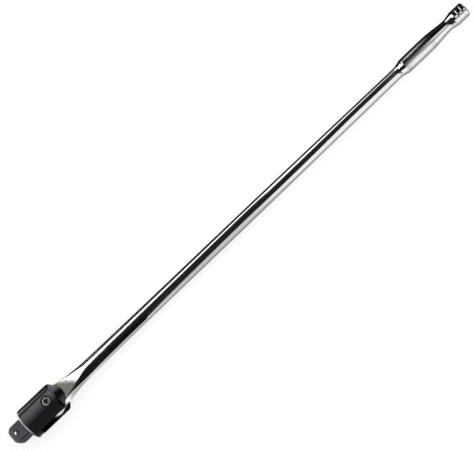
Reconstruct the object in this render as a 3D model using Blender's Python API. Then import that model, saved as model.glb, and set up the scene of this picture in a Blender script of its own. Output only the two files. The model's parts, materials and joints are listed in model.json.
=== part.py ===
"""Breaker bar with a half-inch square drive on a flexing, forked head.

The bar lies along +X, from the tip of its square drive at the origin to the knob on the
far end.  The head flexes about a pivot screw along Z.  All lengths are in metres.
"""

import math

import bmesh
import bpy
from mathutils import Vector

MM = 0.001
GAP = 0.3 * MM                       # room left between pieces that touch
BAR_LENGTH = 450.0 * MM

# Square drive, the front of the head
SQUARE = 12.7 * MM                   # across the flats
SQUARE_CORNER = 0.5 * MM             # radius of its long edges
NOSE_LENGTH = 4.4 * MM               # the tip is rounded off over this length,
NOSE_HEIGHT = 2.6 * MM               # by this much on each side,
NOSE_POWER = 4 / 3                   # between a round (1) and a chamfer (2)
SHOULDER_X = 13.3 * MM               # face that a socket stops against

# Turned head body and its fork
HEAD_RADIUS = 12.65 * MM
HEAD_FACE_RADIUS = 8.9 * MM
HEAD_FRONT_LENGTH = 2.6 * MM         # length of the rounded front edge
HEAD_CYLINDER_END = 43.0 * MM
HEAD_END_FILLET = 3.4 * MM
HEAD_END_ANGLE = 47.0                # degrees between the end cone and the axis
HEAD_END_X = 50.4 * MM
HEAD_FLAT = 11.9 * MM                # height of the flats round the pivot
SLOT_FLOOR_X = 19.8 * MM
SLOT_WIDTH = 11.3 * MM

# Pivot screw
PIVOT_X = 37.4 * MM
COUNTERBORE_RADIUS = 4.2 * MM
COUNTERBORE_FLOOR = 8.0 * MM
SCREW_HEAD_RADIUS = 3.4 * MM
SCREW_HEAD_TOP = 11.5 * MM
SCREW_SOCKET = 3.0 * MM              # hexagon across the flats
SCREW_SOCKET_DEPTH = 2.0 * MM
SCREW_SHOULDER_RADIUS = 2.7 * MM
SCREW_THREAD_RADIUS = 2.45 * MM
SCREW_TIP = -11.4 * MM

# Spring ball in the drive's +Z flat
BALL_X = 5.5 * MM
BALL_RADIUS = 1.75 * MM
BALL_STANDS_OUT = 0.85 * MM
BALL_HOLE_FLOOR = -3.2 * MM
BALL_SPRING_RADIUS = 1.25 * MM       # to the middle of the wire
BALL_SPRING_WIRE = 0.25 * MM
BALL_SPRING_TURNS = 7

# Friction plunger between the slot floor and the tongue
PLUNGER_RADIUS = 2.2 * MM
PLUNGER_REAR_X = 14.8 * MM
PLUNGER_STEM_X = 12.8 * MM
PLUNGER_STEM_RADIUS = 1.0 * MM
PLUNGER_HOLE_FLOOR = 10.0 * MM
PLUNGER_SPRING_RADIUS = 1.75 * MM
PLUNGER_SPRING_WIRE = 0.3 * MM
PLUNGER_SPRING_TURNS = 4

# Handle bar: the tongue, the shaft, the grip and the knob are one forging
TONGUE_RADIUS = 10.0 * MM
TONGUE_THICKNESS = SLOT_WIDTH - 2 * GAP
TONGUE_EDGE = 0.4 * MM
SHAFT_START = 78.0 * MM              # the tongue's flats have run out into a round here
GRIP_RADIUS = 6.0 * MM
GRIP_START = 389.5 * MM
GRIP_END = 414.5 * MM
KNOB_RADIUS = 5.9 * MM
KNOB_GROOVES = (442.2 * MM, 446.0 * MM)
KNOB_GROOVE_DEPTH = 0.14 * MM
KNOB_GROOVE_WIDTH = 0.8 * MM
KNOB_EDGE = 1.3 * MM

# Half widths of the tongue behind its disc, then radii of the shaft: (x, size) in mm
TANG_WIDTHS = ((40.0, 8.7), (48.6, 7.2), (54.0, 6.25), (60.0, 5.8), (68.0, 5.66), (78.0, 5.58))
SHAFT_RADII = ((78.0, 5.58), (125.0, 5.3), (230.0, 5.18), (300.0, 4.83), (382.0, 4.42))
# How round the tongue's corners are, from 0, square, to 1, a full round: (x in mm, share)
TANG_ROUNDING = ((50.0, 0.06), (56.0, 0.16), (62.0, 0.42), (68.0, 0.68), (73.0, 0.9), (78.0, 1.0))
# Flare up to the grip, and the waist between the grip and the knob: (x, radius) in mm
FLARE_RADII = ((382.0, 4.42), (384.0, 4.64), (386.0, 5.07), (388.0, 5.62), (389.2, 5.94))
WAIST_RADII = (
    (415.0, 5.96),
    (420.0, 5.6),
    (426.0, 4.98),
    (431.0, 4.6),
    (433.3, 4.68),
    (436.2, 5.27),
    (439.2, 5.9),
)

ROUND_STEPS = 48
SMALL_STEPS = 24
CORNER_STEPS = 8


# --- curves ---------------------------------------------------------------------------

def smooth_value(points, x):
    """Value at x of a smooth curve through points, which are pairs sorted by x."""
    if x <= points[0][0]:
        return points[0][1]
    if x >= points[-1][0]:
        return points[-1][1]
    i = max(k for k in range(len(points) - 1) if points[k][0] <= x)
    slopes = [secant(points, k) for k in range(len(points) - 1)]
    before = slopes[i] if i == 0 else (slopes[i - 1] + slopes[i]) / 2
    after = slopes[i] if i == len(slopes) - 1 else (slopes[i] + slopes[i + 1]) / 2
    x0, y0 = points[i]
    x1, y1 = points[i + 1]
    span = x1 - x0
    t = (x - x0) / span
    return (
        (2 * t**3 - 3 * t**2 + 1) * y0
        + (t**3 - 2 * t**2 + t) * span * before
        + (3 * t**2 - 2 * t**3) * y1
        + (t**3 - t**2) * span * after
    )


def sampled(points, start, end, count):
    """(x, radius) in metres at even steps along a smooth curve through points in mm."""
    return [(x * MM, smooth_value(points, x) * MM) for x in spread(start, end, count)]


def secant(points, i):
    return (points[i + 1][1] - points[i][1]) / (points[i + 1][0] - points[i][0])


def spread(start, end, count):
    """Evenly spaced values from start to end, both ends included."""
    return [start + (end - start) * i / (count - 1) for i in range(count)]


def arc(centre, radii, start, end, count):
    """Points (x, r) on an elliptical arc, with angles in degrees from +x towards +r."""
    angles = [math.radians(a) for a in spread(start, end, count)]
    return [
        (centre[0] + radii[0] * math.cos(a), centre[1] + radii[1] * math.sin(a))
        for a in angles
    ]


# --- solids ---------------------------------------------------------------------------

def material(name, colour, metallic, roughness):
    mat = bpy.data.materials.new(name)
    mat.use_nodes = True
    shader = mat.node_tree.nodes["Principled BSDF"]
    shader.inputs["Base Color"].default_value = (*colour, 1.0)
    shader.inputs["Metallic"].default_value = metallic
    shader.inputs["Roughness"].default_value = roughness
    return mat


def add_object(name, bm, mat=None, smooth=True):
    """Make an object of a bmesh, with its faces pointing out and its round sides smooth."""
    bmesh.ops.recalc_face_normals(bm, faces=bm.faces)
    mesh = bpy.data.meshes.new(name)
    bm.to_mesh(mesh)
    bm.free()
    if smooth:
        mesh.shade_smooth()
        mesh.set_sharp_from_angle(angle=math.radians(35))
    if mat:
        mesh.materials.append(mat)
    obj = bpy.data.objects.new(name, mesh)
    bpy.context.collection.objects.link(obj)
    return obj


def skin(rings):
    """A closed bmesh over rings of points; a ring of one point is a pole."""
    bm = bmesh.new()
    loops = [[bm.verts.new(p) for p in ring] for ring in rings]
    for a, b in zip(loops, loops[1:]):
        count = max(len(a), len(b))
        for i in range(count):
            j = (i + 1) % count
            if len(a) == 1:
                corners = (a[0], b[i], b[j])
            elif len(b) == 1:
                corners = (a[j], a[i], b[0])
            else:
                corners = (a[j], a[i], b[i], b[j])
            bm.faces.new(corners)
    for end in (loops[0], loops[-1]):
        if len(end) > 1:
            bm.faces.new(end)
    return bm


def turned(name, profile, mat=None, steps=ROUND_STEPS):
    """A solid turned about its own Z, from a profile of (z, radius) points."""
    rings = []
    for z, radius in profile:
        if radius == 0:
            rings.append([Vector((0, 0, z))])
            continue
        turns = [math.tau * (i + 0.5) / steps for i in range(steps)]
        rings.append([Vector((radius * math.cos(a), radius * math.sin(a), z)) for a in turns])
    return add_object(name, skin(rings), mat)


def rounded_section(x, half_y, half_z, corner):
    """Points of a rounded rectangle across the bar at x."""
    points = []
    for quarter in range(4):
        for i in range(CORNER_STEPS):
            a = math.radians(90 * (quarter + (i + 0.5) / CORNER_STEPS))
            side_y = math.copysign(half_y - corner, math.cos(a))
            side_z = math.copysign(half_z - corner, math.sin(a))
            points.append(Vector((x, side_y + corner * math.cos(a), side_z + corner * math.sin(a))))
    return points


def coil(name, coil_radius, wire_radius, length, turns, mat):
    """A compression spring that stands on its own Z, from z = 0 to length."""
    steps_per_turn = 16
    wire_sides = 6
    rise = length - 2 * wire_radius
    count = turns * steps_per_turn + 1
    rings = []
    for i in range(count):
        share = i / (count - 1)
        a = math.tau * turns * share
        outward = Vector((math.cos(a), math.sin(a), 0))
        centre = outward * coil_radius + Vector((0, 0, wire_radius + rise * share))
        ring = []
        for k in range(wire_sides):
            b = math.tau * k / wire_sides
            offset = outward * math.cos(b) + Vector((0, 0, math.sin(b)))
            ring.append(centre + offset * wire_radius)
        rings.append(ring)
    return add_object(name, skin(rings), mat)


# --- cuts -----------------------------------------------------------------------------

def as_tool(obj):
    obj.display_type = "WIRE"
    obj.hide_render = True
    return obj


def box_tool(name, low, high):
    bm = bmesh.new()
    bmesh.ops.create_cube(bm, size=1)
    low = Vector(low)
    high = Vector(high)
    for vert in bm.verts:
        vert.co = (low + high) / 2 + vert.co * (high - low)
    return as_tool(add_object(name, bm, smooth=False))


def along_x(obj, x=0.0):
    """Turn an object made about its own Z so that it points along +X from x."""
    obj.rotation_euler = (0, math.radians(90), 0)
    obj.location = (x, 0, 0)
    return obj


def combine(obj, operation, *tools):
    for tool in tools:
        modifier = obj.modifiers.new(tool.name, "BOOLEAN")
        modifier.operation = operation
        modifier.solver = "EXACT"
        modifier.object = tool


# --- the head -------------------------------------------------------------------------

def drive_square():
    """The square drive, long enough to run into the head body."""
    half = SQUARE / 2
    nose = []
    for angle in spread(0, math.pi / 2, 8):
        along = NOSE_LENGTH * (1 - math.cos(angle) ** NOSE_POWER)
        nose.append((along, half - NOSE_HEIGHT * (1 - math.sin(angle) ** NOSE_POWER)))
    stations = nose + [(SHOULDER_X + 3 * MM, half)]
    rings = [rounded_section(x, size, size, SQUARE_CORNER) for x, size in stations]
    return as_tool(add_object("square", skin(rings)))


def head_profile():
    front = arc(
        (SHOULDER_X + HEAD_FRONT_LENGTH, HEAD_FACE_RADIUS),
        (HEAD_FRONT_LENGTH, HEAD_RADIUS - HEAD_FACE_RADIUS),
        180,
        90,
        6,
    )
    shoulder = arc(
        (HEAD_CYLINDER_END, HEAD_RADIUS - HEAD_END_FILLET),
        (HEAD_END_FILLET, HEAD_END_FILLET),
        90,
        90 - HEAD_END_ANGLE,
        5,
    )
    cone_x, cone_radius = shoulder[-1]
    end_radius = cone_radius - (HEAD_END_X - cone_x) * math.tan(math.radians(HEAD_END_ANGLE))
    return front + shoulder + [(HEAD_END_X, end_radius)]


def drive_head(mat):
    head = along_x(turned("drive_head", head_profile(), mat))
    reach = 2 * HEAD_RADIUS
    half_slot = SLOT_WIDTH / 2
    slot = box_tool("slot", (SLOT_FLOOR_X, -reach, -half_slot), (2 * HEAD_END_X, reach, half_slot))
    upper_flat = box_tool("upper_flat", (0, -reach, HEAD_FLAT), (HEAD_END_X, reach, reach))
    lower_flat = box_tool("lower_flat", (0, -reach, -reach), (HEAD_END_X, reach, -HEAD_FLAT))
    thread_radius = SCREW_THREAD_RADIUS + GAP
    shoulder_radius = SCREW_SHOULDER_RADIUS + GAP
    screw_hole = turned(
        "screw_hole",
        [
            (-reach, thread_radius),
            (0, thread_radius),
            (0, shoulder_radius),
            (COUNTERBORE_FLOOR, shoulder_radius),
            (COUNTERBORE_FLOOR, COUNTERBORE_RADIUS),
            (reach, COUNTERBORE_RADIUS),
        ],
        steps=SMALL_STEPS,
    )
    screw_hole.location.x = PIVOT_X
    ball_hole = turned(
        "ball_hole",
        [(BALL_HOLE_FLOOR, BALL_RADIUS + GAP), (SQUARE, BALL_RADIUS + GAP)],
        steps=SMALL_STEPS,
    )
    ball_hole.location.x = BALL_X
    plunger_hole = turned(
        "plunger_hole",
        [(PLUNGER_HOLE_FLOOR, PLUNGER_RADIUS + GAP), (SLOT_FLOOR_X + GAP, PLUNGER_RADIUS + GAP)],
        steps=SMALL_STEPS,
    )
    along_x(plunger_hole)
    combine(head, "UNION", drive_square())
    cutters = (slot, upper_flat, lower_flat, screw_hole, ball_hole, plunger_hole)
    combine(head, "DIFFERENCE", *[as_tool(cutter) for cutter in cutters])
    return head


def pivot_screw(mat):
    chamfer = 0.35 * MM
    seat = COUNTERBORE_FLOOR + GAP
    shoulder_end = -TONGUE_THICKNESS / 2
    profile = [
        (SCREW_TIP, SCREW_THREAD_RADIUS - chamfer),
        (SCREW_TIP + chamfer, SCREW_THREAD_RADIUS),
        (shoulder_end, SCREW_THREAD_RADIUS),
        (shoulder_end, SCREW_SHOULDER_RADIUS),
        (seat, SCREW_SHOULDER_RADIUS),
        (seat, SCREW_HEAD_RADIUS),
        (SCREW_HEAD_TOP - chamfer, SCREW_HEAD_RADIUS),
        (SCREW_HEAD_TOP, SCREW_HEAD_RADIUS - chamfer),
    ]
    screw = turned("pivot_screw", profile, mat, SMALL_STEPS)
    corner_radius = SCREW_SOCKET / math.sqrt(3)
    socket_floor = SCREW_HEAD_TOP - SCREW_SOCKET_DEPTH
    socket = turned("socket", [(socket_floor, corner_radius), (SQUARE, corner_radius)], steps=6)
    socket.location.x = PIVOT_X
    combine(screw, "DIFFERENCE", as_tool(socket))
    screw.location.x = PIVOT_X
    return screw


def detent_ball(mat):
    bm = bmesh.new()
    bmesh.ops.create_uvsphere(bm, u_segments=SMALL_STEPS, v_segments=14, radius=BALL_RADIUS)
    ball = add_object("drive_detent_ball", bm, mat)
    ball.location = (BALL_X, 0, SQUARE / 2 + BALL_STANDS_OUT - BALL_RADIUS)
    return ball


def detent_spring(mat):
    bottom = BALL_HOLE_FLOOR + GAP
    top = SQUARE / 2 + BALL_STANDS_OUT - 2 * BALL_RADIUS - GAP
    spring = coil(
        "drive_detent_spring",
        BALL_SPRING_RADIUS,
        BALL_SPRING_WIRE,
        top - bottom,
        BALL_SPRING_TURNS,
        mat,
    )
    spring.location = (BALL_X, 0, bottom)
    return spring


def friction_plunger(mat):
    nose_x = PIVOT_X - TONGUE_RADIUS - GAP
    dome_length = 1.2 * MM
    dome = arc((nose_x - dome_length, 0), (dome_length, PLUNGER_RADIUS), 90, 0, 6)
    profile = [
        (PLUNGER_STEM_X, PLUNGER_STEM_RADIUS),
        (PLUNGER_REAR_X, PLUNGER_STEM_RADIUS),
        (PLUNGER_REAR_X, PLUNGER_RADIUS),
        *dome[:-1],
        (nose_x, 0),
    ]
    return along_x(turned("friction_plunger", profile, mat, SMALL_STEPS))


def friction_spring(mat):
    rear = PLUNGER_HOLE_FLOOR + GAP
    length = PLUNGER_REAR_X - GAP - rear
    spring = coil(
        "friction_spring",
        PLUNGER_SPRING_RADIUS,
        PLUNGER_SPRING_WIRE,
        length,
        PLUNGER_SPRING_TURNS,
        mat,
    )
    return along_x(spring, rear)


# --- the handle -----------------------------------------------------------------------

def tongue_stations():
    """(x, half width, half height, corner radius) from the disc's nose to the shaft."""
    half_height = TONGUE_THICKNESS / 2
    flat_end = TANG_ROUNDING[0][0] * MM
    xs = [PIVOT_X - TONGUE_RADIUS * math.cos(math.radians(a)) for a in range(7, 126, 7)]
    xs += spread(44.5 * MM, SHAFT_START, 15)
    stations = []
    for x in xs:
        disc = math.sqrt(max(0.0, TONGUE_RADIUS**2 - (x - PIVOT_X) ** 2))
        tang = smooth_value(TANG_WIDTHS, x / MM) * MM if x > PIVOT_X else 0.0
        blend = 0.5 * MM if x > PIVOT_X else 0.0
        width = (disc + tang + math.hypot(disc - tang, blend)) / 2
        rise = max(0.0, (x - flat_end) / (SHAFT_START - flat_end))
        height = half_height + (SHAFT_RADII[0][1] * MM - half_height) * rise
        corner = smooth_value(TANG_ROUNDING, x / MM) * min(width, height)
        stations.append((x, width, height, max(TONGUE_EDGE, corner)))
    return stations


def knob_profile():
    """(x, radius) from the knob's front edge to the rim of its end face."""
    points = []
    half_width = KNOB_GROOVE_WIDTH / 2
    for x in KNOB_GROOVES:
        points.append((x - half_width, KNOB_RADIUS))
        points.append((x, KNOB_RADIUS - KNOB_GROOVE_DEPTH))
        points.append((x + half_width, KNOB_RADIUS))
    rim = arc((BAR_LENGTH - KNOB_EDGE, KNOB_RADIUS - KNOB_EDGE), (KNOB_EDGE, KNOB_EDGE), 90, 0, 5)
    return points + rim


def shaft_profile():
    """(x, radius) of everything round, from the tongue's end to the knob's end."""
    shaft = sampled(SHAFT_RADII, 90.0, 381.0, 14)
    flare = sampled(FLARE_RADII, 382.0, 389.2, 7)
    grip = [(GRIP_START, GRIP_RADIUS), (GRIP_END, GRIP_RADIUS)]
    waist = sampled(WAIST_RADII, 415.0, 439.2, 13)
    return shaft + flare + grip + waist + knob_profile()


def handle_bar(mat):
    rings = [rounded_section(*station) for station in tongue_stations()]
    rings += [rounded_section(x, radius, radius, radius) for x, radius in shaft_profile()]
    bar = add_object("handle_bar", skin(rings), mat)
    hole = turned(
        "tongue_hole",
        [(-SQUARE, SCREW_SHOULDER_RADIUS + GAP), (SQUARE, SCREW_SHOULDER_RADIUS + GAP)],
        steps=SMALL_STEPS,
    )
    hole.location.x = PIVOT_X
    combine(bar, "DIFFERENCE", as_tool(hole))
    return bar


# --- assembly -------------------------------------------------------------------------

def hang(parent, *children):
    """Parent objects and leave them where they are."""
    for child in children:
        child.parent = parent
        child.matrix_parent_inverse = parent.matrix_world.inverted()


def main():
    for obj in list(bpy.data.objects):
        bpy.data.objects.remove(obj)
    chrome = material("chrome", (0.80, 0.80, 0.81), 1.0, 0.06)
    black_steel = material("black_steel", (0.045, 0.042, 0.05), 0.8, 0.42)
    screw_steel = material("screw_steel", (0.14, 0.135, 0.14), 1.0, 0.35)
    bright_steel = material("bright_steel", (0.70, 0.70, 0.71), 1.0, 0.15)
    spring_steel = material("spring_steel", (0.42, 0.42, 0.44), 1.0, 0.3)

    pivot = bpy.data.objects.new("head_pivot", None)
    bpy.context.collection.objects.link(pivot)
    pivot.location.x = PIVOT_X
    bpy.context.view_layer.update()
    hang(
        pivot,
        drive_head(black_steel),
        pivot_screw(screw_steel),
        detent_ball(bright_steel),
        detent_spring(spring_steel),
        friction_plunger(bright_steel),
        friction_spring(spring_steel),
    )
    handle_bar(chrome)


main()
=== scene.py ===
"""Looks of the breaker bar: its fine meshes, its materials, and a plain studio round it."""

import json
import math

import bmesh
import bpy
import numpy as np
from mathutils import Matrix, Vector


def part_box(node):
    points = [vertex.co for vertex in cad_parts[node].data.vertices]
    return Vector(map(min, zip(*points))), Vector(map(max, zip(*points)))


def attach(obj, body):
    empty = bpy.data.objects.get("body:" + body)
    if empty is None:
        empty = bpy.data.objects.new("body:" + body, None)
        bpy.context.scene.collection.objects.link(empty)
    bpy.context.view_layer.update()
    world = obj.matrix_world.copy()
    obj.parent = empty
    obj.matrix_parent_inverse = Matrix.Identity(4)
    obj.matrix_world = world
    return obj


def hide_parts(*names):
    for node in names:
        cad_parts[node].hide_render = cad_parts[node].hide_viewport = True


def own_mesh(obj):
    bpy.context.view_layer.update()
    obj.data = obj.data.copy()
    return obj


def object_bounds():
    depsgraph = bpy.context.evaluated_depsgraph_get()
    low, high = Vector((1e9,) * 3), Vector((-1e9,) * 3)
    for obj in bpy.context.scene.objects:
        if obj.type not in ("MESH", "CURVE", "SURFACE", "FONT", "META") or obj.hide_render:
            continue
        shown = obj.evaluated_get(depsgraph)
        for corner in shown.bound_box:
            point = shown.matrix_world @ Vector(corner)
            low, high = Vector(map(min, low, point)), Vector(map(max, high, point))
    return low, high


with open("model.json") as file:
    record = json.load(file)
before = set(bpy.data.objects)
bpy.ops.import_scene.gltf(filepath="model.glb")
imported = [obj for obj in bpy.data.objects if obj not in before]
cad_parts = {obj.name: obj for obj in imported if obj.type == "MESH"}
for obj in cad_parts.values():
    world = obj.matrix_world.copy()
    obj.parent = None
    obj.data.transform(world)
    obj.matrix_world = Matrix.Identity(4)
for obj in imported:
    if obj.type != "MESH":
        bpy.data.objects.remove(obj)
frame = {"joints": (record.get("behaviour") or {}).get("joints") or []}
cad_low, cad_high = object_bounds()

MM = 0.001
joints = {joint["name"]: joint for joint in frame["joints"]}
PIVOT_X = joints["head_flex"]["pos_m"][0]
BAR_END = cad_high[0]
_, head_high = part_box("drive_head")
screw_low, screw_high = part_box("pivot_screw")
ball_low, ball_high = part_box("drive_detent_ball")

# Head
SQUARE = 12.7 * MM
SQUARE_CORNER = 0.5 * MM
NOSE_LENGTH = 4.4 * MM                # the drive's tip is rounded off over this length,
NOSE_HEIGHT = 2.6 * MM                # by this much on each side,
NOSE_POWER = 4 / 3                    # between a round (1) and a chamfer (2)
SHOULDER_X = 13.3 * MM
HEAD_RADIUS = 12.62 * MM
CROWN_RADIUS = 40.0 * MM              # the head's two flats are a little crowned
HEAD_FACE_RADIUS = 8.9 * MM
HEAD_FRONT_LENGTH = 2.6 * MM
HEAD_CYLINDER_END = 43.0 * MM
HEAD_END_FILLET = 3.4 * MM
HEAD_END_ANGLE = 47.0
HEAD_END_X = head_high[0]
HEAD_FLAT = head_high[2]
SLOT_FLOOR_X = 19.8 * MM
SLOT_WIDTH = 11.3 * MM
COUNTERBORE_RADIUS = 4.15 * MM
COUNTERBORE_FLOOR = 8.0 * MM
EDGE = 0.3 * MM                       # size of the broken edges of the head

# Pivot screw
SCREW_HEAD_RADIUS = (screw_high[1] - screw_low[1]) / 2
SCREW_TOP = screw_high[2]
SCREW_TIP = screw_low[2]
SCREW_SEAT = 8.3 * MM
SCREW_SHOULDER_RADIUS = 2.7 * MM
SCREW_THREAD_RADIUS = 2.45 * MM
SCREW_PITCH = 0.8 * MM
SCREW_SOCKET = 3.0 * MM
SCREW_SOCKET_DEPTH = 2.0 * MM
SCREW_CHAMFER = 0.5 * MM
SCREW_THREAD_DEPTH = 0.32 * MM
SCREW_HOLE_GAP = 0.3 * MM             # room round the screw in the head
STEP = 0.01 * MM                      # length over which a turned profile steps in or out

# Detent ball and the hidden plunger
BALL_RADIUS = (ball_high[1] - ball_low[1]) / 2
BALL_CENTRE = [(low + high) / 2 for low, high in zip(ball_low, ball_high)]
BALL_HOLE_RADIUS = 2.05 * MM
BALL_HOLE_FLOOR = -3.2 * MM
PLUNGER_RADIUS = 2.18 * MM
PLUNGER_HOLE_RADIUS = 2.48 * MM
PLUNGER_HOLE_FLOOR = 10.0 * MM
PLUNGER_REAR_X = 14.8 * MM
PLUNGER_STEM_RADIUS = 1.0 * MM
PLUNGER_DOME = 1.2 * MM               # length of its rounded nose
PLUNGER_EDGE = 0.15 * MM

# Springs: radius to the middle of the wire, radius of the wire, turns
DETENT_COIL = (1.25 * MM, 0.24 * MM, 7)
FRICTION_COIL = (1.74 * MM, 0.29 * MM, 4)

# Handle
TONGUE_RADIUS = 10.0 * MM
TONGUE_THICKNESS = 10.7 * MM
TONGUE_EDGE = 0.45 * MM
TONGUE_HOLE_RADIUS = 3.0 * MM
SHAFT_START = 78.0 * MM
KNURL_START = 389.5 * MM
KNURL_END = 417.6 * MM
KNURL_DEPTH = 0.03 * MM
KNURL_TEETH = 40
KNURL_PITCH = 1.0 * MM                # along the bar
KNURL_GROOVE = 1 / 3                  # share of the pitch that a groove takes
KNURL_RINGS = (395.1 * MM, 398.4 * MM)
KNURL_RING_WIDTH = 0.9 * MM
KNURL_RUN_OUT = 0.7 * MM              # the grooves fade in and out over this length
KNOB_RADIUS = 5.86 * MM
KNOB_GROOVES = (442.2 * MM, 446.0 * MM)
KNOB_GROOVE_DEPTH = 0.14 * MM
KNOB_GROOVE_WIDTH = 0.8 * MM
KNOB_EDGE = 1.3 * MM
HANDLE_SHARP_DEGREES = 12
RING_POINTS = 240                     # points round the handle, a multiple of 8 and of the teeth

# Half widths of the tongue behind its disc, then radii of the shaft: (x, size) in mm
TANG_WIDTHS = ((40.0, 8.7), (48.6, 7.2), (54.0, 6.25), (60.0, 5.8), (68.0, 5.66), (78.0, 5.58))
SHAFT_RADII = ((78.0, 5.58), (125.0, 5.3), (230.0, 5.18), (300.0, 4.83), (382.0, 4.42))
# How round the tongue's corners are, from 0, square, to 1, a full round: (x in mm, share)
TANG_ROUNDING = (
    (50.0, 0.07),
    (56.0, 0.24),
    (60.0, 0.44),
    (64.0, 0.61),
    (68.0, 0.8),
    (72.5, 0.97),
    (78.0, 1.0),
)
# Flare up to the grip, the grip, and the waist between the grip and the knob: (x, radius) in mm
FLARE_RADII = ((382.0, 4.42), (384.0, 4.62), (386.0, 5.03), (387.8, 5.5), (389.2, 5.93))
GRIP_RADII = ((389.4, 5.96), (414.5, 5.96), (417.7, 5.76))
WAIST_RADII = (
    (415.0, 5.93),
    (420.0, 5.58),
    (426.0, 4.96),
    (431.0, 4.58),
    (433.3, 4.65),
    (435.8, 5.1),
    (437.8, 5.5),
    (439.2, 5.86),
)


# --- curves ---------------------------------------------------------------------------

def smooth_value(points, x):
    """Value at x of a smooth curve through points, which are pairs sorted by x."""
    if x <= points[0][0]:
        return points[0][1]
    if x >= points[-1][0]:
        return points[-1][1]
    i = max(k for k in range(len(points) - 1) if points[k][0] <= x)
    slopes = [secant(points, k) for k in range(len(points) - 1)]
    before = slopes[i] if i == 0 else (slopes[i - 1] + slopes[i]) / 2
    after = slopes[i] if i == len(slopes) - 1 else (slopes[i] + slopes[i + 1]) / 2
    x0, y0 = points[i]
    x1, y1 = points[i + 1]
    span = x1 - x0
    t = (x - x0) / span
    return (
        (2 * t**3 - 3 * t**2 + 1) * y0
        + (t**3 - 2 * t**2 + t) * span * before
        + (3 * t**2 - 2 * t**3) * y1
        + (t**3 - t**2) * span * after
    )


def sampled(points, start, end, count):
    """(x, radius) in metres at even steps along a smooth curve through points in mm."""
    return [(x * MM, smooth_value(points, x) * MM) for x in spread(start, end, count)]


def secant(points, i):
    """Slope of the straight line from point i to the next."""
    return (points[i + 1][1] - points[i][1]) / (points[i + 1][0] - points[i][0])


def spread(start, end, count):
    """Evenly spaced values from start to end, both of them included."""
    return [start + (end - start) * i / (count - 1) for i in range(count)]


def arc(centre, radii, start, end, count):
    """Points (x, r) on an elliptical arc, with angles in degrees from +x towards +r."""
    angles = [math.radians(a) for a in spread(start, end, count)]
    return [
        (centre[0] + radii[0] * math.cos(a), centre[1] + radii[1] * math.sin(a))
        for a in angles
    ]


# --- meshes ---------------------------------------------------------------------------

SHARP_DEGREES = 32


def add_object(name, mesh, sharp_degrees):
    mesh.shade_smooth()
    mesh.set_sharp_from_angle(angle=math.radians(sharp_degrees))
    obj = bpy.data.objects.new(name, mesh)
    bpy.context.collection.objects.link(obj)
    return obj


def skin(name, rings, sharp_degrees=SHARP_DEGREES):
    """A closed solid over rings with the same number of points, and a pole at each end."""
    rings = [np.asarray(ring, dtype=float) for ring in rings]
    count = len(rings[0])
    verts = np.concatenate(rings)
    near = [(i, (i + 1) % count) for i in range(count)]
    faces = []
    for r in range(len(rings) - 1):
        a = r * count
        b = a + count
        faces += [(a + j, a + i, b + i, b + j) for i, j in near]
    poles = [rings[0].mean(axis=0), rings[-1].mean(axis=0)]
    first = len(verts)
    verts = np.vstack([verts, poles])
    last_ring = (len(rings) - 1) * count
    faces += [(i, j, first) for i, j in near]
    faces += [(last_ring + j, last_ring + i, first + 1) for i, j in near]
    mesh = bpy.data.meshes.new(name)
    mesh.from_pydata(verts.tolist(), [], faces)
    bm = bmesh.new()
    bm.from_mesh(mesh)
    bmesh.ops.recalc_face_normals(bm, faces=bm.faces)
    bm.to_mesh(mesh)
    bm.free()
    return add_object(name, mesh, sharp_degrees)


def turned(name, profile, axis="Z", steps=96, sharp_degrees=SHARP_DEGREES):
    """A solid turned about the X or Z axis, from a profile of (position, radius)."""
    angles = [math.tau * (i + 0.5) / steps for i in range(steps)]
    rings = []
    for along, radius in profile:
        circle = [(radius * math.cos(a), radius * math.sin(a)) for a in angles]
        if axis == "X":
            rings.append([(along, u, v) for u, v in circle])
        else:
            rings.append([(u, v, along) for u, v in circle])
    return skin(name, rings, sharp_degrees)


def box(name, low, high):
    bm = bmesh.new()
    bmesh.ops.create_cube(bm, size=1)
    low = Vector(low)
    high = Vector(high)
    for vert in bm.verts:
        vert.co = (low + high) / 2 + vert.co * (high - low)
    mesh = bpy.data.meshes.new(name)
    bm.to_mesh(mesh)
    bm.free()
    obj = bpy.data.objects.new(name, mesh)
    bpy.context.collection.objects.link(obj)
    return obj


def shift(obj, x=0.0, y=0.0, z=0.0):
    """Move an object's mesh, and leave its origin where it is."""
    obj.data.transform(Matrix.Translation((x, y, z)))
    return obj


def settle(obj):
    """Replace an object's mesh by what its modifiers make of it."""
    bpy.context.view_layer.update()
    shown = obj.evaluated_get(bpy.context.evaluated_depsgraph_get())
    mesh = bpy.data.meshes.new_from_object(shown)
    obj.modifiers.clear()
    obj.data = mesh


def combine(obj, operation, *tools):
    """Apply a boolean of an object with each tool in turn, and remove the tools."""
    for tool in tools:
        modifier = obj.modifiers.new(tool.name, "BOOLEAN")
        modifier.operation = operation
        modifier.solver = "EXACT"
        modifier.object = tool
    settle(obj)
    for tool in tools:
        bpy.data.objects.remove(tool)


def break_edges(obj, width):
    """Bevel the sharp edges of an object, with normals that keep its faces flat."""
    bevel = obj.modifiers.new("edges", "BEVEL")
    bevel.width = width
    bevel.segments = 2
    bevel.limit_method = "ANGLE"
    bevel.angle_limit = math.radians(SHARP_DEGREES)
    bevel.miter_outer = "MITER_ARC"
    bevel.use_clamp_overlap = True
    settle(obj)
    obj.data.shade_smooth()
    weights = obj.modifiers.new("normals", "WEIGHTED_NORMAL")
    weights.mode = "FACE_AREA"
    weights.weight = 80
    settle(obj)


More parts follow.
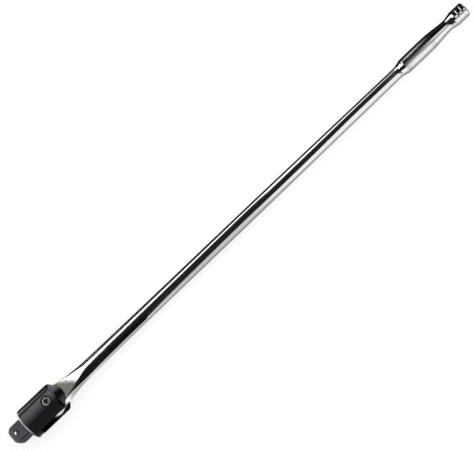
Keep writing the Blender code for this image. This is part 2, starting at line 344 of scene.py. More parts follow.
def coil(name, size, low, high, axis, centre):
    """A compression spring from low to high along an axis, its end turns laid close."""
    coil_radius, wire_radius, turns = size
    steps = turns * 40
    sides = 14
    rings = []
    for i in range(steps + 1):
        share = i / steps
        a = math.tau * turns * share
        rise = share - math.sin(math.tau * share) / 9
        out = Vector((math.cos(a), math.sin(a), 0))
        along = low + wire_radius + (high - low - 2 * wire_radius) * rise
        middle = out * coil_radius + Vector((0, 0, along))
        angles = [math.tau * k / sides for k in range(sides)]
        up = Vector((0, 0, 1))
        ring = [middle + (out * math.cos(b) + up * math.sin(b)) * wire_radius for b in angles]
        if axis == "X":
            ring = [Vector((p.z, p.x, p.y)) for p in ring]
        rings.append([tuple(p + Vector(centre)) for p in ring])
    return skin(name, rings)


# --- node trees -----------------------------------------------------------------------

class Tree:
    """A material's nodes, with its Principled shader in self.shader."""

    def __init__(self, name):
        self.material = bpy.data.materials.new(name)
        self.material.use_nodes = True
        self.nodes = self.material.node_tree.nodes
        self.links = self.material.node_tree.links
        self.shader = self.nodes["Principled BSDF"]
        self.place = self.node("ShaderNodeTexCoord").outputs["Object"]

    def node(self, kind, **values):
        node = self.nodes.new(kind)
        for key, value in values.items():
            setattr(node, key, value)
        return node

    def put(self, socket, value):
        """Give an input a value, or another node's output."""
        if isinstance(value, bpy.types.NodeSocket):
            self.links.new(value, socket)
        else:
            socket.default_value = value

    def noise(self, scale, detail, roughness, stretch=(1, 1, 1)):
        mapping = self.node("ShaderNodeMapping")
        mapping.inputs["Scale"].default_value = stretch
        self.links.new(self.place, mapping.inputs["Vector"])
        noise = self.node("ShaderNodeTexNoise")
        self.links.new(mapping.outputs[0], noise.inputs["Vector"])
        noise.inputs["Scale"].default_value = scale
        noise.inputs["Detail"].default_value = detail
        noise.inputs["Roughness"].default_value = roughness
        return noise.outputs["Fac"]

    def ranged(self, value, low, high, to_low, to_high):
        """Value mapped from low..high to to_low..to_high, and held at their ends."""
        node = self.node("ShaderNodeMapRange")
        for socket, number in zip(node.inputs, (value, low, high, to_low, to_high)):
            self.put(socket, number)
        return node.outputs[0]

    def math(self, operation, a, b=0.0):
        node = self.node("ShaderNodeMath", operation=operation)
        self.put(node.inputs[0], a)
        self.put(node.inputs[1], b)
        return node.outputs[0]

    def mix(self, share, a, b):
        node = self.node("ShaderNodeMix", data_type="RGBA")
        self.put(node.inputs["Factor"], share)
        self.put(node.inputs[6], a)
        self.put(node.inputs[7], b)
        return node.outputs[2]

    def bump(self, height, distance, strength, below=None):
        node = self.node("ShaderNodeBump")
        self.put(node.inputs["Height"], height)
        node.inputs["Distance"].default_value = distance
        node.inputs["Strength"].default_value = strength
        if below is not None:
            self.links.new(below, node.inputs["Normal"])
        return node.outputs[0]

    def axes(self):
        """The x, y and z of the point that is shaded, in metres."""
        node = self.node("ShaderNodeSeparateXYZ")
        self.links.new(self.place, node.inputs[0])
        return node.outputs

    def distance(self, a, b):
        """Distance from where the two coordinates a and b are both 0."""
        squares = self.math("ADD", self.math("MULTIPLY", a, a), self.math("MULTIPLY", b, b))
        return self.math("SQRT", squares)

    def within(self, value, low, high, soft):
        """1 between two limits and 0 outside them, with soft ends."""
        rise = self.ranged(value, low - soft, low + soft, 0.0, 1.0)
        fall = self.ranged(value, high - soft, high + soft, 1.0, 0.0)
        return self.math("MULTIPLY", rise, fall)


def colour(r, g, b):
    return (r, g, b, 1.0)


def chrome_material():
    t = Tree("polished_chrome")
    x, y, z = t.axes()
    smudge = t.noise(55, 4, 0.6, (0.35, 1, 1))
    grain = t.noise(900, 2, 0.5, (0.05, 1, 1))
    waves = t.noise(60, 1, 0.4, (0.3, 1, 1))
    cloud = t.noise(260, 3, 0.6)
    polished = t.mix(smudge, colour(0.69, 0.69, 0.70), colour(0.75, 0.75, 0.755))

    # A dull, darker zone on the tongue's two faces near the fork, with a slanted, uneven end
    slant = t.math("ADD", x, y)
    uneven = t.math("ADD", slant, t.ranged(cloud, 0.3, 0.7, -1.0 * MM, 1.0 * MM))
    near_fork = t.ranged(uneven, 56.5 * MM, 63.0 * MM, 1.0, 0.0)
    on_face = t.ranged(t.math("ABSOLUTE", z), 4.9 * MM, 5.2 * MM, 0.0, 1.0)
    dull = t.math("MULTIPLY", near_fork, on_face)
    rim = t.ranged(x, 45 * MM, 54 * MM, 1.0, 0.0)
    dull_zone_tone = t.mix(cloud, colour(0.16, 0.16, 0.125), colour(0.25, 0.25, 0.215))
    satin = t.math("MAXIMUM", t.math("MULTIPLY", rim, 0.48), t.math("MULTIPLY", dull, 0.36))

    # The knurl is less glossy, with grime and painted shade at the bottom of its grooves
    knurled = t.within(x, KNURL_START, KNURL_END, 0.05 * MM)
    brushed = t.math("MULTIPLY", knurled, 0.15)
    (full_x, full_radius), (end_x, end_radius) = GRIP_RADII[1:]
    tops = t.ranged(x, full_x * MM, end_x * MM, full_radius * MM, end_radius * MM)
    depth = t.math("SUBTRACT", tops, t.distance(y, z))
    groove_grime_and_shade = t.ranged(depth, 0.05 * KNURL_DEPTH, 0.5 * KNURL_DEPTH, 0.0, 0.9)
    for ring in KNURL_RINGS:
        half_width = KNURL_RING_WIDTH / 2
        plain = t.within(x, ring - half_width, ring + half_width, 0.03 * MM)
        knurled = t.math("SUBTRACT", knurled, plain)
    # The grooves' dark colour is painted shade as well as grime
    grimy_shaded_knurl = t.mix(t.math("MULTIPLY", groove_grime_and_shade, knurled), polished, colour(0.10, 0.10, 0.09))

    gloss = t.ranged(smudge, 0.35, 0.75, 0.045, 0.11)
    duller = t.math("MAXIMUM", satin, brushed)
    t.put(t.shader.inputs["Base Color"], t.mix(dull, grimy_shaded_knurl, dull_zone_tone))
    t.shader.inputs["Metallic"].default_value = 1.0
    t.put(t.shader.inputs["Roughness"], t.math("MAXIMUM", gloss, duller))
    slow = t.bump(waves, 0.12 * MM, 0.5)
    t.put(t.shader.inputs["Normal"], t.bump(grain, 0.008 * MM, 0.6, slow))
    return t.material


def black_steel_material():
    t = Tree("black_phosphate_steel")
    x, y, z = t.axes()
    cloud = t.noise(140, 5, 0.6)
    grain = t.noise(2600, 3, 0.6)
    dark = t.mix(cloud, colour(0.046, 0.041, 0.049), colour(0.074, 0.068, 0.078))

    # Bare metal where sockets rub, round the rim of the head's front, painted bright there as a
    # highlight too
    seat = t.within(x, SHOULDER_X - 0.2 * MM, SHOULDER_X + 1.5 * MM, 0.15 * MM)
    outer = t.ranged(t.distance(y, z), HEAD_FACE_RADIUS - 0.4 * MM, HEAD_FACE_RADIUS, 0.0, 1.0)
    patchy = t.ranged(cloud, 0.3, 0.7, 0.7, 1.0)
    wear_and_highlight = t.math("MULTIPLY", t.math("MULTIPLY", seat, outer), patchy)
    t.put(t.shader.inputs["Base Color"], t.mix(wear_and_highlight, dark, colour(0.42, 0.41, 0.41)))
    t.shader.inputs["Metallic"].default_value = 1.0
    gloss = t.ranged(grain, 0.3, 0.7, 0.20, 0.30)
    t.put(t.shader.inputs["Roughness"], t.math("MAXIMUM", gloss, t.math("MULTIPLY", wear_and_highlight, 0.5)))
    t.put(t.shader.inputs["Normal"], t.bump(grain, 0.03 * MM, 0.5))
    return t.material


def screw_material():
    t = Tree("screw_black_oxide")
    x, y, _ = t.axes()
    cloud = t.noise(300, 4, 0.6)
    from_axis = t.distance(t.math("SUBTRACT", x, PIVOT_X), y)
    # Worn on the shoulder, and on the rim of the head's top: a bright ring painted there as a
    # highlight too
    wear_and_highlight = t.within(from_axis, 2.6 * MM, 3.45 * MM, 0.15 * MM)
    oxide = t.mix(cloud, colour(0.10, 0.098, 0.10), colour(0.17, 0.165, 0.17))
    t.put(t.shader.inputs["Base Color"], t.mix(wear_and_highlight, oxide, colour(0.46, 0.45, 0.45)))
    t.shader.inputs["Metallic"].default_value = 1.0
    t.put(t.shader.inputs["Roughness"], t.ranged(cloud, 0.3, 0.7, 0.26, 0.42))
    t.put(t.shader.inputs["Normal"], t.bump(cloud, 0.02 * MM, 0.5))
    return t.material


def bright_material():
    t = Tree("ground_bearing_steel")
    cloud = t.noise(400, 3, 0.5)
    ground = t.mix(cloud, colour(0.66, 0.66, 0.67), colour(0.74, 0.74, 0.74))
    t.put(t.shader.inputs["Base Color"], ground)
    t.shader.inputs["Metallic"].default_value = 1.0
    t.put(t.shader.inputs["Roughness"], t.ranged(cloud, 0.3, 0.7, 0.2, 0.28))
    return t.material


def spring_material():
    t = Tree("spring_wire")
    drawn = t.noise(1500, 3, 0.5)
    wire = t.mix(drawn, colour(0.34, 0.34, 0.36), colour(0.5, 0.5, 0.52))
    t.put(t.shader.inputs["Base Color"], wire)
    t.shader.inputs["Metallic"].default_value = 1.0
    t.put(t.shader.inputs["Roughness"], t.ranged(drawn, 0.3, 0.7, 0.22, 0.36))
    return t.material


# --- handle ---------------------------------------------------------------------------

def section(x, half_y, half_z, corner, gather):
    """Points round a rounded rectangle; gather above 1 draws them towards its corners."""
    half_side = RING_POINTS // 8
    reach = np.linspace(0, 1, half_side + 1) ** gather
    bend = math.pi / 4 * corner       # length round half a corner
    quarter = []
    for half_length, turn in ((half_z, -1), (half_y, 1)):
        run = reach * (bend + half_length - corner)
        angle = math.pi / 4 + turn * np.minimum(run, bend) / corner
        straight = np.maximum(0, run - bend)
        y = half_y - corner + corner * np.cos(angle)
        z = half_z - corner + corner * np.sin(angle)
        if turn < 0:
            z = z - straight
        else:
            y = y - straight
        quarter.append(np.stack([y, z], axis=1))
    quarter = np.vstack([quarter[0][::-1], quarter[1][1:]])
    back = quarter[::-1]
    ring = np.vstack([
        quarter[:-1],
        (back * (-1, 1))[:-1],
        (quarter * (-1, -1))[:-1],
        (back * (1, -1))[:-1],
    ])
    return np.column_stack([np.full(len(ring), x), ring])


def tongue_sections():
    """The tongue's disc, which the pivot screw passes, and the tang behind it."""
    half_height = TONGUE_THICKNESS / 2
    flat_end = TANG_ROUNDING[0][0] * MM
    degrees_round_disc = np.linspace(3, 112, 48)
    xs = [PIVOT_X - TONGUE_RADIUS * math.cos(math.radians(a)) for a in degrees_round_disc]
    xs += spread(PIVOT_X + 4 * MM, SHAFT_START, 66)
    rings = []
    for x in xs:
        # The outline of the disc runs into that of the tang
        disc = math.sqrt(max(0.0, TONGUE_RADIUS**2 - (x - PIVOT_X) ** 2))
        tang = smooth_value(TANG_WIDTHS, x / MM) * MM if x > PIVOT_X else 0.0
        blend = 0.5 * MM if x > PIVOT_X else 0.0
        width = (disc + tang + math.hypot(disc - tang, blend)) / 2
        # The two faces are flat as far as flat_end, and then swell to the shaft
        rise = max(0.0, (x - flat_end) / (SHAFT_START - flat_end))
        height = half_height + (SHAFT_RADII[0][1] * MM - half_height) * rise
        # The front edges of the disc are rounded off
        nose = min(1.0, (x - PIVOT_X + TONGUE_RADIUS) / TONGUE_EDGE)
        height -= TONGUE_EDGE * (1 - math.sqrt(1 - (1 - nose) ** 2))
        corner = max(TONGUE_EDGE, smooth_value(TANG_ROUNDING, x / MM) * min(width, height))
        # Sharp corners need more of the points than round ones
        gather = 1.8 - 0.8 * rise
        rings.append(section(x, width, height, min(corner, width, height), gather))
    return rings


def knurl_sections():
    """Flat-topped diamonds between two hands of V grooves, parted by two plain rings."""
    turn = np.arange(RING_POINTS) / RING_POINTS
    angle = math.tau * turn
    steps = round((KNURL_END - KNURL_START) / KNURL_PITCH * RING_POINTS / KNURL_TEETH)
    rings = []
    for x in spread(KNURL_START, KNURL_END, steps + 1):
        step = round((x - KNURL_START) / (KNURL_END - KNURL_START) * steps)
        along = step * KNURL_TEETH / RING_POINTS
        right = (turn * KNURL_TEETH + along) % 1.0
        left = (turn * KNURL_TEETH - along) % 1.0
        beside = np.minimum(1 - np.abs(2 * right - 1), 1 - np.abs(2 * left - 1))
        cut = 1 - np.minimum(beside / KNURL_GROOVE, 1.0)
        cut = cut * min(1.0, (x - KNURL_START) / KNURL_RUN_OUT, (KNURL_END - x) / KNURL_RUN_OUT)
        for ring in KNURL_RINGS:
            if abs(x - ring) < KNURL_RING_WIDTH / 2:
                cut = np.full(RING_POINTS, math.cos(math.pi * (x - ring) / KNURL_RING_WIDTH) ** 2)
        radius = smooth_value(GRIP_RADII, x / MM) * MM - KNURL_DEPTH * cut
        circle = (radius * np.cos(angle), radius * np.sin(angle))
        rings.append(np.column_stack([np.full(RING_POINTS, x), *circle]))
    return rings


def groove(x, radius, depth, width):
    """(x, radius) down into a shallow ring groove and out again."""
    turns = spread(-math.pi / 2, math.pi / 2, 17)
    return [(x + a * width / math.pi, radius - depth * math.cos(a) ** 2) for a in turns]


def round_sections(profile):
    return [section(x, radius, radius, radius, 1.0) for x, radius in profile]


def handle_mesh():
    shaft = sampled(SHAFT_RADII, 80.0, 381.0, 24)
    flare = sampled(FLARE_RADII, 382.0, 389.2, 20)
    waist = sampled(WAIST_RADII, 418.0, 439.2, 36)
    knob = []
    for x in KNOB_GROOVES:
        knob += groove(x, KNOB_RADIUS, KNOB_GROOVE_DEPTH, KNOB_GROOVE_WIDTH)
    rim = arc((BAR_END - KNOB_EDGE, KNOB_RADIUS - KNOB_EDGE), (KNOB_EDGE, KNOB_EDGE), 90, 0, 14)
    face = [(BAR_END, KNOB_RADIUS * share) for share in (0.6, 0.4, 0.2)]
    rings = tongue_sections() + round_sections(shaft + flare) + knurl_sections()
    rings += round_sections(waist + knob + rim + face)
    handle = skin("handle_forging", rings, HANDLE_SHARP_DEGREES)
    hole = turned("hole", [(-SQUARE, TONGUE_HOLE_RADIUS), (SQUARE, TONGUE_HOLE_RADIUS)], steps=64)
    combine(handle, "DIFFERENCE", shift(hole, x=PIVOT_X))
    handle.data.set_sharp_from_angle(angle=math.radians(HANDLE_SHARP_DEGREES))
    return handle


# --- head -----------------------------------------------------------------------------

def square_section(x, half):
    """Points round a square with rounded corners, of half a side each way."""
    corner = min(SQUARE_CORNER, half)
    points = []
    for quarter in range(4):
        for i in range(9):
            a = math.radians(90 * (quarter + i / 8))
            side_a = math.radians(90 * quarter + 45)
            y = math.copysign(half - corner, math.cos(side_a)) + corner * math.cos(a)
            z = math.copysign(half - corner, math.sin(side_a)) + corner * math.sin(a)
            points.append((x, y, z))
    return points


def head_profile():
    """(x, radius) from the head's front face over its round body to the fork's end."""
    front = arc(
        (SHOULDER_X + HEAD_FRONT_LENGTH, HEAD_FACE_RADIUS),
        (HEAD_FRONT_LENGTH, HEAD_RADIUS - HEAD_FACE_RADIUS),
        180,
        90,
        14,
    )
    shoulder = arc(
        (HEAD_CYLINDER_END, HEAD_RADIUS - HEAD_END_FILLET),
        (HEAD_END_FILLET, HEAD_END_FILLET),
        90,
        90 - HEAD_END_ANGLE,
        12,
    )
    cone_x, cone_radius = shoulder[-1]
    end_radius = cone_radius - (HEAD_END_X - cone_x) * math.tan(math.radians(HEAD_END_ANGLE))
    return front + shoulder + [(HEAD_END_X, end_radius)]


def crowned_block():
    """All the room between the head's two crowned flats."""
    reach = 1.6 * HEAD_RADIUS
    top = [(y, HEAD_FLAT - y * y / (2 * CROWN_RADIUS)) for y in spread(-reach, reach, 65)]
    outline = top + [(y, -z) for y, z in reversed(top)]
    ends = (-SQUARE, 2 * HEAD_END_X)
    return skin("crowned_block", [[(x, y, z) for y, z in outline] for x in ends])


def drive_square():
    """The square drive with its rounded tip, run a little way into the head."""
    half = SQUARE / 2
    stations = []
    for angle in spread(0, math.pi / 2, 20):
        along = NOSE_LENGTH * (1 - math.cos(angle) ** NOSE_POWER)
        stations.append((along, half - NOSE_HEIGHT * (1 - math.sin(angle) ** NOSE_POWER)))
    stations.append((SHOULDER_X + 3 * MM, half))
    return skin("square", [square_section(x, size) for x, size in stations])


def head_mesh():
    head = turned("head_forging", head_profile(), "X", 128)
    combine(head, "UNION", drive_square())
    reach = 2 * HEAD_RADIUS
    half_slot = SLOT_WIDTH / 2
    slot = box("slot", (SLOT_FLOOR_X, -reach, -half_slot), (2 * HEAD_END_X, reach, half_slot))
    thread_radius = SCREW_THREAD_RADIUS + SCREW_HOLE_GAP
    bore_radius = SCREW_SHOULDER_RADIUS + SCREW_HOLE_GAP
    screw_hole = turned(
        "screw_hole",
        [
            (-reach, thread_radius),
            (0, thread_radius),
            (0.1 * MM, bore_radius),
            (COUNTERBORE_FLOOR, bore_radius),
            (COUNTERBORE_FLOOR + STEP, COUNTERBORE_RADIUS),
            (reach, COUNTERBORE_RADIUS),
        ],
        steps=64,
    )
    ball_hole = turned(
        "ball_hole",
        [(BALL_HOLE_FLOOR, BALL_HOLE_RADIUS), (SQUARE, BALL_HOLE_RADIUS)],
        steps=48,
    )
    plunger_hole = turned(
        "plunger_hole",
        [(PLUNGER_HOLE_FLOOR, PLUNGER_HOLE_RADIUS), (SLOT_FLOOR_X + MM, PLUNGER_HOLE_RADIUS)],
        "X",
        48,
    )
    shift(screw_hole, x=PIVOT_X)
    shift(ball_hole, x=BALL_CENTRE[0])
    combine(head, "INTERSECT", crowned_block())
    combine(head, "DIFFERENCE", slot, screw_hole, ball_hole, plunger_hole)
    break_edges(head, EDGE)
    return head


# --- small pieces ---------------------------------------------------------------------

def screw_profile():
    """(z, radius) from the screw's tip up to the top of its head."""
    shoulder_end = -TONGUE_THICKNESS / 2
    root_radius = SCREW_THREAD_RADIUS - SCREW_THREAD_DEPTH
    profile = [(SCREW_TIP, SCREW_THREAD_RADIUS * 0.8)]
    turns = int((shoulder_end - SCREW_TIP) / SCREW_PITCH)
    lead_in = 0.3 * MM
    for i in range(turns):
        low = SCREW_TIP + lead_in + i * SCREW_PITCH
        profile.append((low, root_radius))
        profile.append((low + SCREW_PITCH * 0.45, SCREW_THREAD_RADIUS))
        profile.append((low + SCREW_PITCH * 0.55, SCREW_THREAD_RADIUS))
    profile += [(shoulder_end, root_radius), (shoulder_end + STEP, SCREW_SHOULDER_RADIUS)]
    profile += [(SCREW_SEAT, SCREW_SHOULDER_RADIUS), (SCREW_SEAT + STEP, SCREW_HEAD_RADIUS)]
    profile.append((SCREW_TOP - SCREW_CHAMFER, SCREW_HEAD_RADIUS))
    rim = 0.12 * MM
    rim_centre = (SCREW_TOP - rim, SCREW_HEAD_RADIUS - SCREW_CHAMFER - 0.02 * MM)
    return profile + arc(rim_centre, (rim, rim), 45, 0, 5)


def screw_mesh():
    screw = turned("socket_screw", screw_profile(), "Z", 72)
    corner = SCREW_SOCKET / math.sqrt(3)
    floor = SCREW_TOP - SCREW_SOCKET_DEPTH
    drilled = floor - 0.6 * MM
    socket = turned("socket", [(drilled, 0.1 * MM), (floor, corner), (SQUARE, corner)], "Z", 6, 10)
    countersink = turned(
        "countersink",
        [(SCREW_TOP - 0.25 * MM, corner * 0.86), (SCREW_TOP + 0.25 * MM, corner * 1.2)],
    )
    combine(screw, "DIFFERENCE", socket, countersink)
    shift(screw, x=PIVOT_X)
    screw.data.shade_smooth()
    screw.data.set_sharp_from_angle(angle=math.radians(30))
    return screw


def ball_mesh():
    pole = 0.06                       # radians that the profile keeps from each pole
    angles = np.linspace(pole, math.pi - pole, 40)
    profile = [(-BALL_RADIUS * math.cos(a), BALL_RADIUS * math.sin(a)) for a in angles]
    ball = turned("detent_ball", profile, "Z", 64, 60)
    return shift(ball, *BALL_CENTRE)


def plunger_mesh():
    low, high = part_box("friction_plunger")
    dome = arc((high[0] - PLUNGER_DOME, 0), (PLUNGER_DOME, PLUNGER_RADIUS), 90, 3, 20)
    profile = [
        (low[0], PLUNGER_STEM_RADIUS - PLUNGER_EDGE),
        (low[0] + PLUNGER_EDGE, PLUNGER_STEM_RADIUS),
        (PLUNGER_REAR_X, PLUNGER_STEM_RADIUS),
        (PLUNGER_REAR_X + STEP, PLUNGER_RADIUS - PLUNGER_EDGE),
        (PLUNGER_REAR_X + PLUNGER_EDGE, PLUNGER_RADIUS),
    ]
    return turned("nose_plunger", profile + dome, "X", 64)


# --- studio ---------------------------------------------------------------------------

VIEW_ELEVATION = 72.0                 # degrees over the floor
BAR_RISE = 43.65                      # degrees by which the bar climbs to the right
SENSOR = 36.0                         # mm
LENS = 3.165 * SENSOR                 # mm
CAMERA_DISTANCE = 1.083               # m
CENTRE_X = 223.1 * MM                 # place on the bar that the camera looks at,
CENTRE_OFFSET = 0.5 * MM              # and how far above the bar's axis, as it sees it
CARD_DISTANCE = 3.0                   # from the bar to its light cards
STAGE_REACH = 8.0                     # half the floor's width, and the dome's radius
OVERHEAD_RADIANCE = 1.1
OVERHEAD_SIZE = (2.4, 1.8)
OVERHEAD_HEIGHT = 1.2
WORLD_RADIANCE = 0.02
FLOOR_REST_X = 447.0 * MM             # where the knob rests on the floor
FLOOR_GAP = 0.05 * MM
FLAG_LIFT = 0.6 * MM                  # flags lie this high over the floor


def add_camera():
    """The camera looks down on the bar, and is rolled so that the bar climbs to the right."""
    tilt = math.radians(VIEW_ELEVATION)
    along = Vector((1, 0, 0))
    back = Vector((0, -math.cos(tilt), math.sin(tilt)))
    below = Vector((0, -math.sin(tilt), -math.cos(tilt)))
    rise = math.radians(BAR_RISE)
    right = along * math.cos(rise) + below * math.sin(rise)
    up = along * math.sin(rise) - below * math.cos(rise)
    data = bpy.data.cameras.new("camera")
    data.sensor_width = SENSOR
    data.lens = LENS
    data.clip_start = 0.01
    data.clip_end = 100
    camera = bpy.data.objects.new("camera", data)
    bpy.context.collection.objects.link(camera)
    place = Matrix((right, up, back)).transposed().to_4x4()
    place.translation = Vector((CENTRE_X, 0, 0)) - below * CENTRE_OFFSET + back * CAMERA_DISTANCE
    camera.matrix_world = place
    bpy.context.scene.camera = camera


def flat_material(name, tint, emission=0.0):
    mat = bpy.data.materials.new(name)
    mat.use_nodes = True
    shader = mat.node_tree.nodes["Principled BSDF"]
    shader.inputs["Base Color"].default_value = (tint, tint, tint, 1)
    shader.inputs["Roughness"].default_value = 0.9
    shader.inputs["Specular IOR Level"].default_value = 0.0
    shader.inputs["Emission Color"].default_value = (1, 1, 1, 1)
    shader.inputs["Emission Strength"].default_value = emission
    return mat


def stage_mesh(name, verts, faces, mat):
    """A mesh that belongs to the studio and not to the tool."""
    mesh = bpy.data.meshes.new(name)
    mesh.from_pydata(verts, [], faces)
    mesh.materials.append(mat)
    obj = bpy.data.objects.new(name, mesh)
    bpy.context.collection.objects.link(obj)
    return obj


def only_reflected(obj):
    """Shown in glossy reflections, and left out of everything else."""
    obj.visible_camera = False
    obj.visible_diffuse = False
    obj.visible_shadow = False


def card_material():
    """Light as strong as the mesh's own radiance attribute says."""
    t = Tree("light_card")
    t.shader.inputs["Base Color"].default_value = colour(0, 0, 0)
    t.shader.inputs["Specular IOR Level"].default_value = 0.0
    t.shader.inputs["Emission Color"].default_value = colour(1, 1, 1)
    radiance = t.node("ShaderNodeAttribute", attribute_name="radiance").outputs["Fac"]
    t.put(t.shader.inputs["Emission Strength"], radiance)
    return t.material


def light_card(name, stations):
    """A soft box curved round the bar, seen only in reflections.

    Stations are (x in mm, lowest angle, highest angle, radiance), with angles in degrees
    from the +Y horizon over the top towards -Y. The x is the place on the shaft where
    the camera sees that part of the card.
    """
    steps = 12
    verts = []
    radiances = []
    for x, low, high, radiance in stations:
        card_x = x * MM + (x * MM - CENTRE_X) * CARD_DISTANCE / CAMERA_DISTANCE
        for angle in spread(math.radians(low), math.radians(high), steps + 1):
            verts.append((card_x, CARD_DISTANCE * math.cos(angle), CARD_DISTANCE * math.sin(angle)))
            radiances.append(radiance)
    faces = []
    for i in range(len(stations) - 1):
        first = i * (steps + 1)
        for k in range(first, first + steps):
            faces.append((k, k + 1, k + steps + 2, k + steps + 1))
    card = stage_mesh(name, verts, faces, card_material())
    values = card.data.attributes.new("radiance", "FLOAT", "POINT")
    values.data.foreach_set("value", radiances)
    only_reflected(card)


def panel(name, corners, mat):
    """A flat card seen only in reflections, from its corners in mm."""
    verts = [(x * MM, y * MM, z * MM) for x, y, z in corners]
    only_reflected(stage_mesh(name, verts, [tuple(range(len(verts)))], mat))


def floor_height(x):
    """The floor lies just under the head's lower flat and the knob."""
    front = (SHOULDER_X, -HEAD_FLAT - FLOOR_GAP)
    rear = (FLOOR_REST_X, -KNOB_RADIUS - FLOOR_GAP)
    return front[1] + (x - front[0]) * (rear[1] - front[1]) / (rear[0] - front[0])


def sheet_on_floor(name, outline, lift, mat):
    """A sheet on the floor, from its outline (x, y) in mm."""
    verts = [(x * MM, y * MM, floor_height(x * MM) + lift) for x, y in outline]
    return stage_mesh(name, verts, [tuple(range(len(verts)))], mat)


def rectangle(x0, y0, x1, y1):
    return [(x0, y0), (x1, y0), (x1, y1), (x0, y1)]


def floor_card_material():
    """White light from the floor, seen in reflections, with a painted shadow that darkens it
    towards the bar that stands over it.
    """
    t = Tree("floor_card")
    x, y, _ = t.axes()
    dark_to = t.ranged(x, 75 * MM, 110 * MM, 7 * MM, 5 * MM)
    bright_from = t.ranged(x, 75 * MM, 110 * MM, 15 * MM, 50 * MM)
    along_shaft = t.ranged(x, 120 * MM, 170 * MM, 1.0, 0.72)
    along_grip = t.ranged(x, 240 * MM, 300 * MM, 0.0, 0.38)
    near_head = t.ranged(x, 45 * MM, 53 * MM, 1.9, 0.0)
    brightest = t.math("ADD", t.math("ADD", along_shaft, along_grip), near_head)
    light = t.ranged(t.math("ABSOLUTE", y), dark_to, bright_from, 0.3, brightest)
    t.shader.inputs["Base Color"].default_value = colour(0, 0, 0)
    t.shader.inputs["Specular IOR Level"].default_value = 0.0
    t.shader.inputs["Emission Color"].default_value = colour(1, 1, 1)
    t.put(t.shader.inputs["Emission Strength"], light)
    return t.material


def only_seen(obj):
    """Shown to the camera, and left out of reflections."""
    obj.visible_glossy = False
    obj.visible_shadow = False


def backdrop():
    """A white dome that only the camera sees."""
    bm = bmesh.new()
    bmesh.ops.create_uvsphere(bm, u_segments=48, v_segments=24, radius=STAGE_REACH)
    mesh = bpy.data.meshes.new("backdrop")
    bm.to_mesh(mesh)
    bm.free()
    mesh.materials.append(flat_material("backdrop_white", 0.0, 1.0))
    dome = bpy.data.objects.new("backdrop", mesh)
    bpy.context.collection.objects.link(dome)
    only_seen(dome)
    dome.visible_diffuse = False


def overhead_light():
    """The soft light of the floor and of everything that isn't mirror-bright."""
    data = bpy.data.lights.new("overhead", "AREA")
    data.shape = "RECTANGLE"
    data.size, data.size_y = OVERHEAD_SIZE
    data.energy = OVERHEAD_RADIANCE * data.size * data.size_y * math.pi
    light = bpy.data.objects.new("overhead", data)
    bpy.context.collection.objects.link(light)
    light.location = (CENTRE_X, 0, OVERHEAD_HEIGHT)
    light.visible_camera = False
    light.visible_glossy = False


def plain_world():
    """A very faint white world, with colours shown as they are."""
    scene = bpy.context.scene
    scene.view_settings.view_transform = "Standard"
    world = bpy.data.worlds.new("studio")
    scene.world = world
    world.use_nodes = True
    background = world.node_tree.nodes["Background"]
    background.inputs["Color"].default_value = (1, 1, 1, 1)
    background.inputs["Strength"].default_value = WORLD_RADIANCE


def floor_and_flags():
    """The white floor, the light that the bar sees in it, and the dark cards near the head."""
    reach = STAGE_REACH / MM
    everywhere = rectangle(-reach, -reach, reach, reach)
    black = flat_material("flag_black", 0.01)
    only_seen(sheet_on_floor("floor", everywhere, 0.0, flat_material("floor_white", 0.4, 0.8)))
    only_reflected(sheet_on_floor("floor_card", everywhere, 0.3 * MM, floor_card_material()))
    only_reflected(sheet_on_floor("far_flag", rectangle(2, 9, reach, reach), FLAG_LIFT, black))
    beside_head = [(-60, -5), (13.5, -5), (13.5, -17), (50, -16), (50, -400), (-60, -400)]
    grey = flat_material("flag_grey", 0.0, 0.3)
    only_reflected(sheet_on_floor("head_flag", beside_head, FLAG_LIFT, grey))
    beside_tang = [(50, -14), (60, -17), (68, -22), (80, -34), (106, -62), (50, -62)]
    only_reflected(sheet_on_floor("tang_flag", beside_tang, FLAG_LIFT, black))
    side_y = -62
    tang_side = [(x, side_y, z) for x, z in rectangle(50, -13, 126, 120)]
    panel("tang_side_flag", tang_side, black)
    head_side = [(x, side_y, z) for x, z in rectangle(-60, -13, 50, 120)]
    panel("head_side_flag", head_side, flat_material("flag_dim", 0.0, 0.16))


def upright_cards():
    """One card before the drive's tip, and one behind the fork's ears."""
    front = [(-700, y, z) for y, z in rectangle(-260, 0, 260, 900)]
    panel("front_card", front, flat_material("front_light", 0.0, 1.6))
    behind_ears = [(57, y, z) for y, z in rectangle(7.5, -9, 45, 28)]
    panel("fork_card", behind_ears, flat_material("fork_light", 0.0, 1.6))


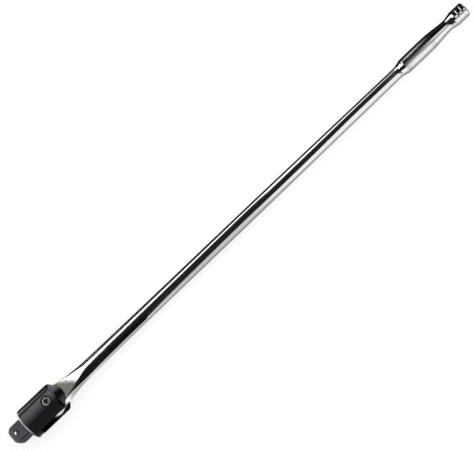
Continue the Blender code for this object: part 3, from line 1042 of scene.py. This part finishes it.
def cards_round_the_bar():
    """Long cards, whose reflections make the light and dark lines along the bar."""
    light_card(
        "drive_card",
        [(-1500, 30, 94, 1.7), (-230, 30, 91, 1.7), (-140, 40, 80, 1.8), (10, 64, 78, 1.8)],
    )
    light_card(
        "head_card",
        [
            (10, 34, 64, 5),
            (28, 30, 64, 5),
            (37, 30, 68, 5),
            (45, 29, 73, 5),
            (58, 29, 75, 3),
            (82, 32, 74, 3),
        ],
    )
    light_card(
        "left_card",
        [(82, 32, 72, 1.7), (160, 22, 50, 1.7), (236, 15, 35, 1.7), (260, 14, 36, 1.7)],
    )
    light_card(
        "left_card_far",
        [
            (260, 15, 54, 1.7),
            (284, 15, 50, 1.7),
            (300, 16, 47, 1.7),
            (332, 17, 41, 1.5),
            (348, 17, 37, 1.4),
            (364, 17, 39, 1.0),
            (397, 16, 40, 0.6),
        ],
    )
    light_card("right_card_front", [(-1500, 134, 184, 1.2), (104, 134, 184, 1.2)])
    light_card("low_card", [(-445, -1, 8, 1.0), (69, -1, 8, 1.0)])
    light_card(
        "right_card",
        [
            (136, 180, 184, 0.9),
            (156, 158, 184, 0.85),
            (172, 150, 184, 0.75),
            (196, 141, 184, 0.75),
            (220, 134, 184, 0.75),
            (244, 133, 184, 0.85),
            (268, 138, 184, 1.1),
            (284, 138, 184, 1.2),
            (300, 135, 184, 1.2),
            (320, 126, 184, 1.2),
            (348, 115, 184, 1.2),
            (380, 121, 184, 1.15),
            (402, 124, 184, 1.15),
        ],
    )
    light_card(
        "right_card_upper",
        [
            (402, 112, 120, 0.3),
            (419, 92, 120, 0.42),
            (436, 90, 121, 0.45),
            (443, 88, 124, 0.8),
            (812, 85, 124, 0.9),
        ],
    )
    light_card(
        "right_card_lower",
        [(402, 139, 184, 1.2), (436, 142, 184, 1.2), (443, 134, 184, 1.2), (812, 134, 184, 1.2)],
    )
    light_card("rear_card", [(900, 10, 70, 0.9), (1900, 10, 70, 0.9)])
    light_card("knurl_card", [(383, 50, 112, 0.08), (410, 50, 112, 0.04)])
    light_card("waist_flag", [(412, 42, 90, 0.004), (812, 42, 85, 0.004)])
    light_card("flare_flag", [(-1500, 96, 132, 0.004), (-30, 96, 132, 0.004)])


def studio():
    plain_world()
    floor_and_flags()
    backdrop()
    overhead_light()
    upright_cards()
    cards_round_the_bar()


# --- assembly -------------------------------------------------------------------------

def dress(piece, node, body, material):
    """Give a piece its material, and say which body it rides and which node it replaces."""
    piece.data.materials.clear()
    piece.data.materials.append(material)
    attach(piece, body)
    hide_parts(node)


def springs():
    low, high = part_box("drive_detent_spring")
    centre = (BALL_CENTRE[0], 0, 0)
    detent = coil("detent_coil", DETENT_COIL, low[2], high[2], "Z", centre)
    low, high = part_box("friction_spring")
    friction = coil("friction_coil", FRICTION_COIL, low[0], high[0], "X", (0, 0, 0))
    return detent, friction


def press_detent_coil(coil_piece):
    """Gives the ball's spring a mesh of its own."""
    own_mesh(coil_piece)


spring_steel = spring_material()
bright_steel = bright_material()
detent_coil, friction_coil = springs()
dress(handle_mesh(), "handle_bar", "handle", chrome_material())
dress(head_mesh(), "drive_head", "head", black_steel_material())
dress(screw_mesh(), "pivot_screw", "head", screw_material())
dress(ball_mesh(), "drive_detent_ball", "detent_ball", bright_steel)
dress(plunger_mesh(), "friction_plunger", "head", bright_steel)
dress(detent_coil, "drive_detent_spring", "head", spring_steel)
dress(friction_coil, "friction_spring", "head", spring_steel)
press_detent_coil(detent_coil)
add_camera()
studio()
